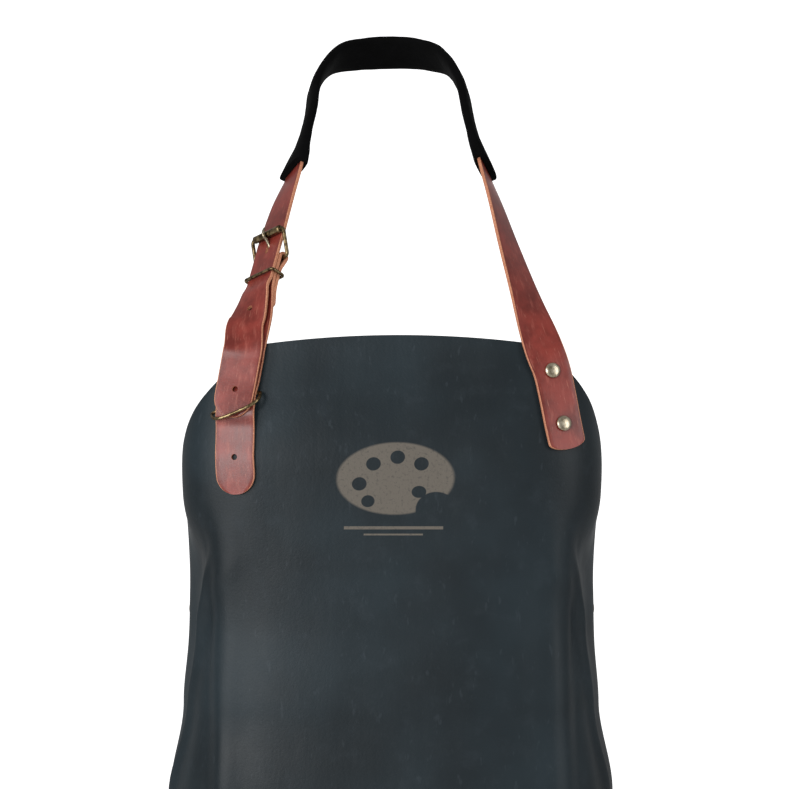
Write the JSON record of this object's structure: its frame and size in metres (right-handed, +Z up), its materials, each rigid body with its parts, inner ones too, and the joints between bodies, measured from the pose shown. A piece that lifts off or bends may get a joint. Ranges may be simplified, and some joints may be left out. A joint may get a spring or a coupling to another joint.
{
  "type": "bib apron",
  "caption": "Leather artist's bib apron with a buckled, padded neck strap, a D ring on the bib and riveted waist straps that buckle at the back.",
  "frame": {"origin": "where the inside of the padded neck sleeve rests on the nape of the neck, on the apron's centre line", "axes": "+Z up, -Y out of the front of the bib, +X to the right of someone facing the apron"},
  "size_m": [0.372, 0.2302, 1.0924],
  "materials": {
    "panel_leather": "smooth dark slate-navy leather with a soft sheen",
    "strap_leather": "waxed red-brown strap leather with raw tan edges",
    "sleeve_suede": "matt near-black suede over thin padding",
    "antique_brass": "darkened antique brass, polished on the high spots"
  },
  "bodies": {
    "apron": {"apron_panel": "panel_leather", "neck_sleeve": "sleeve_suede", "neck_strap": "strap_leather", "buckle_strap": "strap_leather", "waist_strap_left": "strap_leather", "waist_strap_right": "strap_leather", "neck_buckle_frame": "antique_brass", "waist_buckle_frame": "antique_brass", "right_rivet_upper_cap": "antique_brass", "right_rivet_upper_post": "antique_brass", "right_rivet_lower_cap": "antique_brass", "right_rivet_lower_post": "antique_brass", "neck_fold_rivet_cap": "antique_brass", "neck_fold_rivet_post": "antique_brass", "left_rivet_cap": "antique_brass", "left_rivet_post": "antique_brass", "waist_fold_rivet_cap": "antique_brass", "waist_fold_rivet_post": "antique_brass", "waist_rivet_left_front_cap": "antique_brass", "waist_rivet_left_front_post": "antique_brass", "waist_rivet_left_rear_cap": "antique_brass", "waist_rivet_left_rear_post": "antique_brass", "waist_rivet_right_front_cap": "antique_brass", "waist_rivet_right_front_post": "antique_brass", "waist_rivet_right_rear_cap": "antique_brass", "waist_rivet_right_rear_post": "antique_brass"},
    "neck_roller": {"neck_buckle_roller": "antique_brass"},
    "neck_prong": {"neck_buckle_prong": "antique_brass"},
    "neck_keeper": {"neck_strap_keeper": "antique_brass"},
    "ring": {"d_ring": "antique_brass"},
    "waist_roller": {"waist_buckle_roller": "antique_brass"},
    "waist_prong": {"waist_buckle_prong": "antique_brass"},
    "waist_keeper": {"waist_strap_keeper": "antique_brass"}
  },
  "joints": [
    {"name": "neck_roller_spin", "type": "hinge", "parent": "apron", "child": "neck_roller", "pos_m": [-0.09529, -0.1182, -0.15187], "axis": [0.6487, -0.7142, 0.2629], "continuous": true},
    {"name": "neck_prong_lift", "type": "hinge", "parent": "apron", "child": "neck_prong", "pos_m": [-0.09181, -0.12306, -0.17365], "axis": [0.6487, -0.7142, 0.2629], "range_deg": [0, 4]},
    {"name": "neck_keeper_slide", "type": "slide", "parent": "apron", "child": "neck_keeper", "axis": [-0.21, -0.5001, -0.8401], "range_m": [-0.004, 0.003]},
    {"name": "ring_swing", "type": "hinge", "parent": "apron", "child": "ring", "pos_m": [-0.11706, -0.16969, -0.28105], "axis": [-0.9069, 0.1335, -0.3997], "range_deg": [0, 45]},
    {"name": "waist_roller_spin", "type": "hinge", "parent": "apron", "child": "waist_roller", "pos_m": [0.01, 0.0305, -0.445], "axis": [0, 0, 1], "continuous": true},
    {"name": "waist_prong_lift", "type": "hinge", "parent": "apron", "child": "waist_prong", "pos_m": [-0.01, 0.02, -0.445], "axis": [0, 0, 1], "range_deg": [0, 4]},
    {"name": "waist_keeper_slide", "type": "slide", "parent": "apron", "child": "waist_keeper", "axis": [-1, 0, 0], "range_m": [-0.004, 0.003]}
  ]
}
